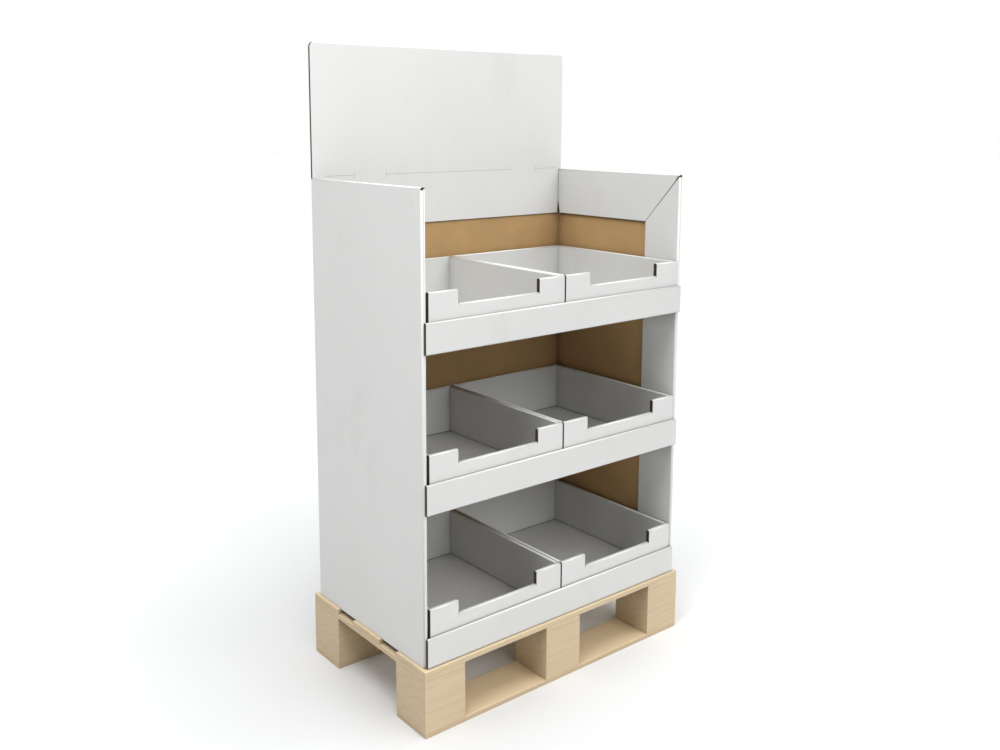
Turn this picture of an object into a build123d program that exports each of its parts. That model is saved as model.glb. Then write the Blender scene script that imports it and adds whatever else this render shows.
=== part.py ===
"""Cardboard display stand with three tiers of trays, standing on a small wooden pallet.

Frame: the origin is under the middle of the pallet, +X runs to the right along the
long front side, the open front faces -Y and +Z points up. All sizes are millimetres.
"""
import os

from build123d import *

os.makedirs("parts", exist_ok=True)

# ---- pallet ----
pallet_length = 800.0
pallet_depth = 466.0
skid_thickness = 11.0
block_height = 117.5
cross_thickness = 11.5
deck_thickness = 12.0
block_length = 107.0
block_depth = 110.0
deck_board_width = 110.0
board_chamfer = 1.2
nail_diameter = 3.0
nail_head_diameter = 7.0
nail_head_height = 1.0
nail_spread = 56.0
nail_bite = 45.0
skid_nail_length = 40.0

# ---- cardboard ----
board = 3.0
body_width = 785.0
body_depth = 438.6
wall_height = 1020.0
wall_thickness = 10.4
fold_radius = 2.6
band_height = 121.0
front_flap_width = 108.0
seam_gap = 0.8
corner_hole = 5.0

# ---- header ----
header_rise = 309.0
header_inset = 1.0
header_gap = 0.4
header_corner_radius = 14.0
slit_height = 1.0
middle_slit_length = 397.0
slit_shift = 9.5
side_slit_length = 76.0
side_slit_inset = 26.5
back_relief_width = 3.5
side_relief_width = 6.5
relief_height = 36.0

# ---- shelves ----
middle_tier_rise = 339.2
top_tier_rise = 341.4
lip_height = 67.0
lip_thickness = 7.0
lip_end_inset = 4.5
lip_clearance = 0.6
shelf_side_clearance = 0.5
shelf_flange_height = 30.0

# ---- trays ----
tray_height = 124.5
tray_gap = 4.5
tray_left_gap = 6.1
tray_clearance = 0.6
tray_back_gap = 8.4
tray_side_thickness = 6.4
tray_front_thickness = 10.0
notch_depth = 30.5
tray_post_width = 75.25
tray_corner_radius = 1.5

# ---- sizes that follow ----
pallet_height = skid_thickness + block_height + cross_thickness + deck_thickness
cross_base = skid_thickness + block_height
deck_base = cross_base + cross_thickness
block_x = (pallet_length - block_length) / 2
block_y = (pallet_depth - block_depth) / 2
deck_y = (pallet_depth - deck_board_width) / 2
wall_outer_x = body_width / 2
wall_inner_x = wall_outer_x - wall_thickness
sheet_inner_x = wall_outer_x - board
body_front_y = -body_depth / 2
body_back_y = body_depth / 2
back_inner_y = body_back_y - board
header_front_y = back_inner_y - header_gap - board
wall_top = pallet_height + wall_height
band_base = wall_top - band_height
header_top = wall_top + header_rise
header_width = body_width - 2 * header_inset
lip_width = body_width - 2 * lip_end_inset
middle_shelf_height = pallet_height + middle_tier_rise
top_shelf_height = middle_shelf_height + top_tier_rise
flap_edge_y = body_front_y + front_flap_width
lip_back_y = body_front_y - lip_clearance
lip_front_y = lip_back_y - lip_thickness
shelf_back_y = back_inner_y
tray_front_y = lip_back_y + tray_clearance
tray_back_y = back_inner_y - tray_back_gap
tray_depth = tray_back_y - tray_front_y
tray_width = (2 * wall_inner_x - tray_left_gap - tray_gap - tray_clearance) / 2
notch_width = tray_width - 2 * tray_post_width
right_tray_x = wall_inner_x - tray_clearance - tray_width / 2
left_tray_x = right_tray_x - tray_width - tray_gap
tray_y = (tray_front_y + tray_back_y) / 2


# ---- nail places: (x, y) of each pair of nails over one block or crossing ----
column_x = {"left": -block_x, "middle": 0.0, "right": block_x}
row_y = {"front": -block_y, "back": block_y}
nail_pairs = []
for x_side in column_x.values():
    for y_side in row_y.values():
        nail_pairs.append((x_side - nail_spread / 2, y_side + nail_spread / 4))
        nail_pairs.append((x_side + nail_spread / 2, y_side - nail_spread / 4))
crossing_pairs = []
for x_side in column_x.values():
    crossing_pairs.append((x_side - nail_spread / 2, nail_spread / 4))
    crossing_pairs.append((x_side + nail_spread / 2, -nail_spread / 4))


def nail(length):
    """One flat-headed nail, head up, its head's top face at height 0."""
    with BuildPart() as one:
        with BuildSketch(Plane.XY.offset(-length)):
            Circle(nail_diameter / 2)
        extrude(amount=length)
        with BuildSketch(Plane.XY.offset(-nail_head_height)):
            Circle(nail_head_diameter / 2)
        extrude(amount=nail_head_height)
    return one.part


long_nail_length = deck_thickness + cross_thickness + nail_bite
short_nail_length = deck_thickness + cross_thickness - 1.5
long_nail = nail(long_nail_length)
short_nail = nail(short_nail_length)
skid_nail = nail(skid_nail_length)

with BuildPart() as pallet_nails:
    with Locations([(x, y, pallet_height) for x, y in nail_pairs]):
        add(long_nail)
    with Locations([(x, y, pallet_height) for x, y in crossing_pairs]):
        add(short_nail)
    with Locations([Location((x, y, 0), (180, 0, 0)) for x, y in nail_pairs]):
        add(skid_nail)
pallet_nails.part.label = "pallet_nails"
export_step(pallet_nails.part, "parts/pallet_nails.step")

# ---- skids: the two boards on the ground ----
for side, y in row_y.items():
    with BuildPart() as skid:
        with BuildSketch(Plane.XY):
            with Locations((0, y)):
                Rectangle(pallet_length, block_depth)
        extrude(amount=skid_thickness)
        chamfer(skid.edges().group_by(Axis.Z)[0], board_chamfer)
        with Locations([Location((px, py, 0), (180, 0, 0)) for px, py in nail_pairs]):
            add(skid_nail, mode=Mode.SUBTRACT)
    skid.part.label = f"pallet_skid_{side}"
    export_step(skid.part, f"parts/pallet_skid_{side}.step")

# ---- blocks ----
for x_name, x in column_x.items():
    for y_name, y in row_y.items():
        with BuildPart() as block:
            with BuildSketch(Plane.XY.offset(skid_thickness)):
                with Locations((x, y)):
                    Rectangle(block_length, block_depth)
            extrude(amount=block_height)
            chamfer(block.edges().filter_by(Axis.Z), board_chamfer)
            with Locations([(px, py, pallet_height) for px, py in nail_pairs]):
                add(long_nail, mode=Mode.SUBTRACT)
            with Locations([Location((px, py, 0), (180, 0, 0)) for px, py in nail_pairs]):
                add(skid_nail, mode=Mode.SUBTRACT)
        block.part.label = f"pallet_block_{y_name}_{x_name}"
        export_step(block.part, f"parts/pallet_block_{y_name}_{x_name}.step")

# ---- cross boards, laid front to back on the blocks ----
for x_name, x in column_x.items():
    with BuildPart() as cross_board:
        with BuildSketch(Plane.XY.offset(cross_base)):
            with Locations((x, 0)):
                Rectangle(block_length, pallet_depth)
        extrude(amount=cross_thickness)
        with Locations([(px, py, pallet_height) for px, py in nail_pairs]):
            add(long_nail, mode=Mode.SUBTRACT)
        with Locations([(px, py, pallet_height) for px, py in crossing_pairs]):
            add(short_nail, mode=Mode.SUBTRACT)
    cross_board.part.label = f"pallet_cross_board_{x_name}"
    export_step(cross_board.part, f"parts/pallet_cross_board_{x_name}.step")

# ---- deck boards, laid left to right on the cross boards ----
deck_rows = {"front": -deck_y, "middle": 0.0, "back": deck_y}
for y_name, y in deck_rows.items():
    with BuildPart() as deck_board:
        with BuildSketch(Plane.XY.offset(deck_base)):
            with Locations((0, y)):
                Rectangle(pallet_length, deck_board_width)
        extrude(amount=deck_thickness)
        chamfer(deck_board.edges().group_by(Axis.Z)[-1], board_chamfer)
        with Locations([(px, py, pallet_height) for px, py in nail_pairs]):
            add(long_nail, mode=Mode.SUBTRACT)
        with Locations([(px, py, pallet_height) for px, py in crossing_pairs]):
            add(short_nail, mode=Mode.SUBTRACT)
    deck_board.part.label = f"pallet_deck_board_{y_name}"
    export_step(deck_board.part, f"parts/pallet_deck_board_{y_name}.step")

# ---- mantle: one sheet folded round three sides, its free edges turned in ----
with BuildPart() as mantle:
    # both side walls at full thickness, and the back between them
    with BuildSketch(Plane.XY.offset(pallet_height)):
        Rectangle(body_width, body_depth)
    extrude(amount=wall_height)
    fillet(mantle.edges().filter_by(Axis.Z), fold_radius)
    fillet(mantle.edges().group_by(Axis.Z)[-1].filter_by(Axis.Y), fold_radius)
    with BuildSketch(Plane.XY.offset(pallet_height)):
        with Locations((0, (body_front_y + back_inner_y) / 2)):
            Rectangle(2 * wall_inner_x, back_inner_y - body_front_y)
        with Locations((0, body_front_y)):
            Rectangle(2 * wall_inner_x, board)
    extrude(amount=wall_height, mode=Mode.SUBTRACT)
    # the back panel goes on up as the header's rear layer
    with BuildSketch(Plane.XZ.offset(-body_back_y)):
        with Locations((0, (wall_top - board + header_top) / 2)):
            Rectangle(header_width, header_top - wall_top + board)
    extrude(amount=board)
    # the header's front layer, folded over the top and down between the walls
    with BuildSketch(Plane.XZ.offset(-header_front_y - board)):
        with Locations((0, (wall_top + header_top) / 2)):
            Rectangle(header_width, header_top - wall_top)
        with Locations((0, (band_base + wall_top) / 2)):
            Rectangle(2 * wall_inner_x - seam_gap, band_height)
    extrude(amount=board)
    with BuildSketch(Plane.XZ.offset(-body_back_y)):
        with Locations((0, header_top - board / 2)):
            Rectangle(header_width, board)
    extrude(amount=body_back_y - header_front_y)
    # rounded top corners of the header
    with BuildSketch(Plane.XZ.offset(-body_back_y - 1)):
        with Locations((0, header_top)):
            Rectangle(header_width + 2, 2 * header_corner_radius)
        with Locations((0, header_top - header_corner_radius - 1)):
            RectangleRounded(
                header_width, 2 * header_corner_radius + 2, header_corner_radius,
                mode=Mode.SUBTRACT,
            )
    extrude(amount=2 * board + header_gap + 2, mode=Mode.SUBTRACT)
    # the hollow between outer wall and turned-in flaps, and the open part below the band
    for side in (-1, 1):
        hollow_width = wall_thickness - 2 * board
        with BuildSketch(Plane.XY.offset(pallet_height)):
            with Locations((
                side * (wall_inner_x + board + hollow_width / 2),
                (body_front_y + board + back_inner_y) / 2,
            )):
                Rectangle(hollow_width, back_inner_y - body_front_y - board)
        extrude(amount=wall_height - board, mode=Mode.SUBTRACT)
        with BuildSketch(Plane.XY.offset(pallet_height)):
            with Locations((
                side * (wall_inner_x + sheet_inner_x) / 2,
                (flap_edge_y + back_inner_y) / 2,
            )):
                Rectangle(sheet_inner_x - wall_inner_x, back_inner_y - flap_edge_y)
        extrude(amount=band_base - pallet_height, mode=Mode.SUBTRACT)
    # mitred seam where the top band meets the front flap, small hole at its corner
    for side in (-1, 1):
        mitre_plane = Plane(
            origin=(side * (wall_inner_x + board / 2) - board, 0, 0),
            x_dir=(0, 1, 0), z_dir=(1, 0, 0),
        )
        with BuildSketch(mitre_plane):
            with BuildLine():
                Polyline(
                    (body_front_y + board, wall_top - board),
                    (flap_edge_y, band_base - seam_gap),
                    (flap_edge_y, band_base),
                    (body_front_y + board, wall_top - board + seam_gap),
                    close=True,
                )
            make_face()
        extrude(amount=2 * board, mode=Mode.SUBTRACT)
        with Locations((
            side * (wall_inner_x + wall_thickness / 2),
            body_front_y + corner_hole / 2,
            wall_top - corner_hole / 2,
        )):
            Box(corner_hole, corner_hole + 2 * fold_radius, corner_hole - 1, mode=Mode.SUBTRACT)
    # locking slits in the header's front layer
    with BuildSketch(Plane.XZ.offset(-header_front_y - board)):
        with Locations((slit_shift, wall_top + board)):
            Rectangle(middle_slit_length, slit_height)
        for side in (-1, 1):
            slit_x = side * (header_width / 2 - side_slit_inset - side_slit_length / 2)
            with Locations((slit_x + slit_shift, wall_top + board)):
                Rectangle(side_slit_length, slit_height)
    extrude(amount=board, mode=Mode.SUBTRACT)
    # tapered relief at both lower corners of that layer, and in the side bands beside it
    for side in (-1, 1):
        with BuildSketch(Plane.XZ.offset(-header_front_y - board)):
            with BuildLine():
                Polyline(
                    (side * (wall_inner_x + 1), band_base - 1),
                    (side * (wall_inner_x - back_relief_width), band_base - 1),
                    (side * (wall_inner_x - seam_gap), band_base + relief_height),
                    (side * (wall_inner_x + 1), band_base + relief_height),
                    close=True,
                )
            make_face()
        extrude(amount=board, mode=Mode.SUBTRACT)
        band_plane = Plane(
            origin=(side * (wall_inner_x + board / 2) - board, 0, 0),
            x_dir=(0, 1, 0), z_dir=(1, 0, 0),
        )
        with BuildSketch(band_plane):
            with BuildLine():
                Polyline(
                    (back_inner_y, band_base - 1),
                    (header_front_y - side_relief_width, band_base - 1),
                    (header_front_y, band_base + relief_height),
                    (back_inner_y, band_base + relief_height),
                    close=True,
                )
            make_face()
        extrude(amount=2 * board, mode=Mode.SUBTRACT)
mantle.part.label = "mantle"
export_step(mantle.part, "parts/mantle.step")

# ---- shelves: floor sheet, doubled front lip, glued side and back flanges ----
shelf_heights = {
    "bottom": pallet_height,
    "middle": middle_shelf_height,
    "top": top_shelf_height,
}
flange_depth = shelf_back_y - board - flap_edge_y - seam_gap
for tier, z in shelf_heights.items():
    # the bottom shelf lies on the pallet, so its flanges are folded up
    flange_up = tier == "bottom"
    with BuildPart() as shelf:
        with BuildSketch(Plane.XY.offset(z)):
            front_part = flap_edge_y + seam_gap - lip_front_y
            with Locations((0, lip_front_y + front_part / 2)):
                Rectangle(2 * (wall_inner_x - shelf_side_clearance), front_part)
            with Locations((0, (flap_edge_y + seam_gap + shelf_back_y) / 2)):
                Rectangle(2 * sheet_inner_x, shelf_back_y - flap_edge_y - seam_gap)
            with Locations((0, lip_front_y + lip_thickness / 2)):
                Rectangle(lip_width, lip_thickness)
        extrude(amount=board)
        with BuildSketch(Plane.XY.offset(z)):
            with Locations((0, lip_front_y + lip_thickness / 2)):
                Rectangle(lip_width, lip_thickness)
        extrude(amount=lip_height)
        lip_edges = shelf.edges().filter_by(Axis.X).group_by(Axis.Y)[0]
        fillet(lip_edges, 1.2)
        with BuildSketch(Plane.XY.offset(z + board)):
            with Locations((0, lip_front_y + lip_thickness / 2)):
                Rectangle(lip_width, lip_thickness - 2 * board)
        extrude(amount=lip_height - 2 * board, mode=Mode.SUBTRACT)
        flange_z = z if flange_up else z + board - shelf_flange_height
        with BuildSketch(Plane.XY.offset(flange_z)):
            for side in (-1, 1):
                with Locations((
                    side * (sheet_inner_x - board / 2),
                    (flap_edge_y + seam_gap + shelf_back_y - board) / 2,
                )):
                    Rectangle(board, flange_depth)
            with Locations((0, shelf_back_y - board / 2)):
                Rectangle(2 * (sheet_inner_x - board) - seam_gap, board)
        extrude(amount=shelf_flange_height)
    shelf.part.label = f"shelf_{tier}"
    export_step(shelf.part, f"parts/shelf_{tier}.step")

# ---- trays: two beside each other on every shelf ----
tray_sides = {"left": left_tray_x, "right": right_tray_x}
for tier, shelf_z in shelf_heights.items():
    z = shelf_z + board
    for side_name, x in tray_sides.items():
        inner_width = tray_width - 2 * tray_side_thickness
        inner_depth = tray_depth - tray_front_thickness - tray_side_thickness
        inner_y = tray_front_y + tray_front_thickness + inner_depth / 2
        front_middle_y = tray_front_y + tray_front_thickness / 2
        cavity = tray_front_thickness - 2 * board
        with BuildPart() as tray:
            with BuildSketch(Plane.XY.offset(z)):
                with Locations((x, tray_y)):
                    Rectangle(tray_width, tray_depth)
            extrude(amount=tray_height)
            fillet(tray.edges().filter_by(Axis.Z), tray_corner_radius)
            with BuildSketch(Plane.XY.offset(z + board)):
                with Locations((x, inner_y)):
                    Rectangle(inner_width, inner_depth)
            extrude(amount=tray_height - board, mode=Mode.SUBTRACT)
            # the low middle of the front wall
            with BuildSketch(Plane.XY.offset(z + tray_height - notch_depth)):
                with Locations((x, front_middle_y)):
                    Rectangle(notch_width, tray_front_thickness)
            extrude(amount=notch_depth, mode=Mode.SUBTRACT)
            # the hollow inside the folded-over front wall, open at both steps
            with BuildSketch(Plane.XY.offset(z + board)):
                with Locations((x, front_middle_y)):
                    Rectangle(tray_width - 2 * tray_side_thickness, cavity)
            hollow_height = tray_height - notch_depth - 2 * board
            extrude(amount=hollow_height, mode=Mode.SUBTRACT)
            with BuildSketch(Plane.XY.offset(z + tray_height - notch_depth)):
                for step in (-1, 1):
                    post_x = x + step * (notch_width + tray_post_width - tray_side_thickness) / 2
                    with Locations((post_x, front_middle_y)):
                        Rectangle(tray_post_width - tray_side_thickness, cavity)
            extrude(amount=notch_depth - board, mode=Mode.SUBTRACT)
        tray.part.label = f"tray_{tier}_{side_name}"
        export_step(tray.part, f"parts/tray_{tier}_{side_name}.step")
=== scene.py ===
"""The looks of a cardboard display stand on a small wooden pallet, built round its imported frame."""

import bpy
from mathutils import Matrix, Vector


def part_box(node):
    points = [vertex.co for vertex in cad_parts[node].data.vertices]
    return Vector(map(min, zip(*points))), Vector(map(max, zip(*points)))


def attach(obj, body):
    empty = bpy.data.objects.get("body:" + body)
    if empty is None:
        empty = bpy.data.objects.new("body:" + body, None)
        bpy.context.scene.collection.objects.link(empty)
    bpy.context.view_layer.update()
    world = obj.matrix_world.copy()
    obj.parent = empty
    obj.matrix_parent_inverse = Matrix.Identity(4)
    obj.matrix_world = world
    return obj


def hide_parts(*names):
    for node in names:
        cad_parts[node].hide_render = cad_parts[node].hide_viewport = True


bl_info = {
    "name": "Cardboard display stand",
    "version": (1, 0, 0),
    "blender": (4, 5, 0),
    "location": "View3D > Sidebar > Display stand",
    "description": "Builds the folded board, the pallet and the studio of a display stand",
    "category": "Object",
}

import math
import random
from collections import namedtuple

import bmesh
import bpy
from mathutils import Vector

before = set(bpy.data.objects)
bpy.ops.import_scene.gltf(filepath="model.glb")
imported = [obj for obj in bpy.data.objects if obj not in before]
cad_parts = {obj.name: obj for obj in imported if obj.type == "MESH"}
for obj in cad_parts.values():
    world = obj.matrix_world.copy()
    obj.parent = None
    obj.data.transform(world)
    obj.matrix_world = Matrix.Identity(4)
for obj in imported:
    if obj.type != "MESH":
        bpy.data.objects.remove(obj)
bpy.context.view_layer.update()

MM = 0.001
NEAR = 1e-6  # places closer than this are the same
CUT_BACK = 0.6 * MM  # fluting stops this far short of a cut edge
TOUCH = 0.4 * MM  # air between board faces that lie on each other
PAPER = 0.2 * MM  # thickness of the fluting paper
RELIEF = 36 * MM  # height of the notches where band and header meet in the corners
HALF_SLIT = 0.25 * MM
FLOOR_GAP = 1.3 * MM  # from a tray's floor to the edges of its turned-down walls
NAIL_SPREAD = 56 * MM
NAIL_SHANK = 3 * MM
DECK_NAIL, CROSSING_NAIL, SKID_NAIL = 68.5 * MM, 22 * MM, 40 * MM
BACKWARD = Vector((0, 1, 0))
WHITE, KRAFT, CORE, RIM = range(4)
MANTLE_WHITE, SHELF_WHITE, TRAY_WHITE = 1.02, 0.94, 0.97  # brightness of each sheet's coating
TIERS = ("bottom", "middle", "top")
SIDES = ("left", "right")
# name, azimuth, elevation and strength: azimuth 0 shines from the front and 90 from the right
LAMPS = (
    ("front_lamp", 0, 35, 1.48),
    ("front_right_lamp", 45, 35, 0.84),
    ("right_lamp", 90, 62, 0.80),
    ("back_lamp", 180, 40, 0.92),
    ("left_lamp", 270, 25, 0.39),
    ("high_left_lamp", 270, 62, 0.92),
)
SOFT_BOX_PLACE = Vector((-1.3, -0.8, 3.0))
SOFT_BOX_AIM = Vector((0.1, 0.1, 1.2))
SOFT_BOX_POWER = 28.5
CAMERA_PLACE = (-1.5465, -1.8419, 1.2994)
CAMERA_TILT = math.radians(90 - 8.657)
CAMERA_TURN = math.radians(-38.032)
CAMERA_LENS = 36.309
CAMERA_SHIFT = (0.0329, -0.0993)


# ---------------------------------------------------------------- settings


def size_setting(name, description, default, low, high):
    """A size in metres."""
    return bpy.props.FloatProperty(
        name=name, description=description, default=default, min=low, max=high,
        subtype="DISTANCE", unit="LENGTH", precision=5,
    )


def colour_setting(name, description, default):
    """A colour, as the three shares of light it gives back."""
    return bpy.props.FloatVectorProperty(
        name=name, description=description, default=default, min=0, max=1, size=3, subtype="COLOR",
    )


class BoardSettings(bpy.types.PropertyGroup):
    """Sizes and colours of the corrugated board."""

    thickness: size_setting("Board", "Thickness of the corrugated board", 3.0 * MM, MM, 8 * MM)
    liner: size_setting("Liner", "Thickness of each flat paper liner", 0.4 * MM, 0.1 * MM, MM)
    flute_pitch: size_setting(
        "Flute pitch", "Distance from one flute to the next", 6.5 * MM, 2 * MM, 12 * MM,
    )
    fold_radius: size_setting("Fold radius", "Outer radius of a creased fold", 3.2 * MM, MM, 8 * MM)
    wall_thickness: size_setting(
        "Wall", "Side wall with its turned-in flap, face to face", 10.4 * MM, 6 * MM, 30 * MM,
    )
    flap_width: size_setting(
        "Front flap", "Width of the flap turned in along each front edge", 108 * MM, 20 * MM, 200 * MM,
    )
    band_height: size_setting(
        "Top band", "Height of the band turned in along the top edges", 121 * MM, 20 * MM, 200 * MM,
    )
    wall_height: size_setting(
        "Wall height", "Height of the side walls above the pallet", 1020 * MM, 0.5, 2.0,
    )
    header_inset: size_setting(
        "Header inset", "How far the header stops short of each wall face", MM, 0.0, 20 * MM,
    )
    corner_radius: size_setting(
        "Header corner", "Radius of the header's top corners", 14 * MM, MM, 60 * MM,
    )
    face: colour_setting("White face", "Colour of the coated outer liner", (0.64, 0.642, 0.629))
    kraft: colour_setting("Kraft face", "Colour of the bare inner liner", (0.44, 0.278, 0.126))
    # the fluting is brown paper, painted far darker than real kraft to stand in for the shade inside the
    # board
    core: colour_setting("Fluting", "Colour of the paper between the liners", (0.115, 0.074, 0.042))


class TraySettings(bpy.types.PropertyGroup):
    """Sizes of the loose trays and of the shelf lips."""

    front_thickness: size_setting(
        "Tray front", "Thickness of the folded-over front wall", 10 * MM, 6.4 * MM, 30 * MM,
    )
    side_thickness: size_setting(
        "Tray side", "Thickness of the folded-over side walls", 6.4 * MM, 6.4 * MM, 20 * MM,
    )
    post_width: size_setting(
        "Front post", "Width of the high ends of the front wall", 75.25 * MM, 20 * MM, 150 * MM,
    )
    notch_depth: size_setting(
        "Notch", "How far the middle of the front wall is cut down", 30.5 * MM, 5 * MM, 80 * MM,
    )
    lip_height: size_setting(
        "Shelf lip", "Height of the doubled lip of a shelf", 67 * MM, 20 * MM, 150 * MM,
    )
    lip_thickness: size_setting(
        "Lip thickness", "Thickness of the doubled lip", 7 * MM, 6.4 * MM, 20 * MM,
    )
    flange: size_setting(
        "Shelf flange", "Height of the glued flanges along the sides and back of a shelf",
        30 * MM, 10 * MM, 80 * MM,
    )
    lip_inset: size_setting(
        "Lip inset", "How far a lip stops short of each wall face", 4.5 * MM, 0.0, 20 * MM,
    )


class PalletSettings(bpy.types.PropertyGroup):
    """Finish of the pallet."""

    wood: colour_setting("Wood", "Colour of the early wood", (0.585, 0.47, 0.31))
    blush: colour_setting("Blush", "Colour of the faint rosy clouds in the wood", (0.58, 0.45, 0.315))
    late_wood: colour_setting("Late wood", "Colour of the darker grain lines", (0.50, 0.385, 0.24))
    edge_round: size_setting(
        "Edge rounding", "Rounding of the planed outer edges", 1.3 * MM, 0.2 * MM, 6 * MM,
    )
    nail_head: size_setting("Nail head", "Diameter of the nail heads", 7 * MM, 3 * MM, 14 * MM)


class StudioSettings(bpy.types.PropertyGroup):
    """Light and floor of the studio."""

    sky: bpy.props.FloatProperty(
        name="Dome light", description="Strength of the even white surroundings",
        default=0.0, min=0.0, max=5.0,
    )
    key: bpy.props.FloatProperty(
        name="Lamps", description="Strength of the very soft lamps",
        default=1.0, min=0.0, max=20.0,
    )
    floor: colour_setting("Floor", "Colour of the floor", (0.885, 0.893, 0.90))


# ---------------------------------------------------------------- node helpers


class Value:
    """A socket that can be written in sums, so that mask * 0.5 adds its Math node."""

    def __init__(self, graph, socket):
        self.graph = graph
        self.socket = socket

    def _math(self, operation, *parts):
        values = {i: part for i, part in enumerate(parts)}
        return self.graph.node("ShaderNodeMath", {"operation": operation}, values)

    def __add__(self, other):
        return self._math("ADD", self, other)

    def __sub__(self, other):
        return self._math("SUBTRACT", self, other)

    def __mul__(self, other):
        return self._math("MULTIPLY", self, other)

    def __truediv__(self, other):
        return self._math("DIVIDE", self, other)

    def sine(self):
        return self._math("SINE", self)


class Graph:
    """Adds nodes to one tree: settings first, then the values and links of the sockets."""

    def __init__(self, tree):
        self.tree = tree

    def node(self, kind, settings=None, values=None, out=0):
        made = self.tree.nodes.new(kind)
        for name, setting in (settings or {}).items():
            setattr(made, name, setting)
        for name, value in (values or {}).items():
            if isinstance(value, Value):
                self.tree.links.new(value.socket, made.inputs[name])
            else:
                made.inputs[name].default_value = value
        return Value(self, made.outputs[out])

    def noise(self, where, scale, detail=3.0, rough=0.55):
        values = {"Vector": where, "Scale": scale, "Detail": detail, "Roughness": rough}
        return self.node("ShaderNodeTexNoise", None, values, "Fac")

    def scaled(self, where, by):
        settings = {"operation": "MULTIPLY"}
        return self.node("ShaderNodeVectorMath", settings, {0: where, 1: by})

    def range(self, value, low, high, to_low=0.0, to_high=1.0):
        settings = {"interpolation_type": "SMOOTHSTEP"}
        values = {
            "Value": value, "From Min": low, "From Max": high,
            "To Min": to_low, "To Max": to_high,
        }
        return self.node("ShaderNodeMapRange", settings, values)

    def mix(self, factor, first, second):
        values = {0: factor, 6: first, 7: second}
        return self.node("ShaderNodeMix", {"data_type": "RGBA"}, values, 2)

    def paint(self, base, *coats):
        """A base colour under its coats, each a mask and the colour that it brings."""
        for mask, coat in coats:
            base = self.mix(mask, base, coat)
        return base

    def attribute(self, name, out):
        return self.node("ShaderNodeAttribute", {"attribute_name": name}, None, out)

    def place(self):
        return self.node("ShaderNodeTexCoord", None, None, "Object")

    def surface_normal(self):
        return self.node("ShaderNodeNewGeometry", None, None, "Normal")

    def facing_up(self, low, high):
        """0 on faces that look sideways or down and 1 on those that look up: the mask of painted light
        on upward faces.
        """
        rise = self.node("ShaderNodeSeparateXYZ", None, {0: self.surface_normal()}, "Z")
        return self.range(rise, low, high)

    def painted_joint_shade(self, distance, deep, clear):
        """Painted shade: 0 in the open and 1 deep in a joint, from the ambient occlusion there."""
        settings = {"samples": 6}
        open_air = self.node("ShaderNodeAmbientOcclusion", settings, {"Distance": distance}, "AO")
        return self.range(open_air, deep, clear, 1.0, 0.0)

    def painted_ledge_shade(self, distance):
        """Painted shade: 1 right under a ledge and 0 well below it, from the open air of a normal
        leaning upward.
        """
        lean = {0: self.surface_normal(), 1: (0.0, 0.0, 0.9)}
        leaning = self.node("ShaderNodeVectorMath", {"operation": "ADD"}, lean)
        upward = self.node("ShaderNodeVectorMath", {"operation": "NORMALIZE"}, {0: leaning})
        values = {"Distance": distance, "Normal": upward}
        open_air = self.node("ShaderNodeAmbientOcclusion", {"samples": 8}, values, "AO")
        return self.range(open_air, 0.05, 0.75, 1.0, 0.0)

    def bump(self, height, distance, strength=1.0, under=None):
        values = {"Height": height, "Distance": distance, "Strength": strength}
        if under is not None:
            values["Normal"] = under
        return self.node("ShaderNodeBump", None, values)


class Finish(Graph):
    """The nodes of one material, round a bare Principled shader."""

    def __init__(self, name, **settings):
        self.material = bpy.data.materials.new(name)
        self.material.use_nodes = True
        super().__init__(self.material.node_tree)
        self.tree.nodes.clear()
        self.shader = self.tree.nodes.new("ShaderNodeBsdfPrincipled")
        output = self.tree.nodes.new("ShaderNodeOutputMaterial")
        self.tree.links.new(self.shader.outputs[0], output.inputs["Surface"])
        for label, value in settings.items():
            self.shader.inputs[label.replace("_", " ")].default_value = value

    def done(self, colour, roughness, normal=None):
        """Links what varies over the surface and gives back the material."""
        varying = {"Base Color": colour, "Roughness": roughness, "Normal": normal}
        for label, value in varying.items():
            if value is not None:
                self.tree.links.new(value.socket, self.shader.inputs[label])
        return self.material


def rgba(colour, by=1.0):
    """A colour made lighter or darker, as a colour socket takes it."""
    return tuple(min(1.0, share * by) for share in colour) + (1.0,)


def flute_wave(graph, pitch):
    """Height of the faint washboard that the flutes print through a liner."""
    along = graph.node("ShaderNodeUVMap", {"uv_map": "board"})
    split = graph.node("ShaderNodeSeparateXYZ", None, {0: along}, "X")
    return (split * (2 * math.pi / pitch)).sine() * 0.5 + 0.5


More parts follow.
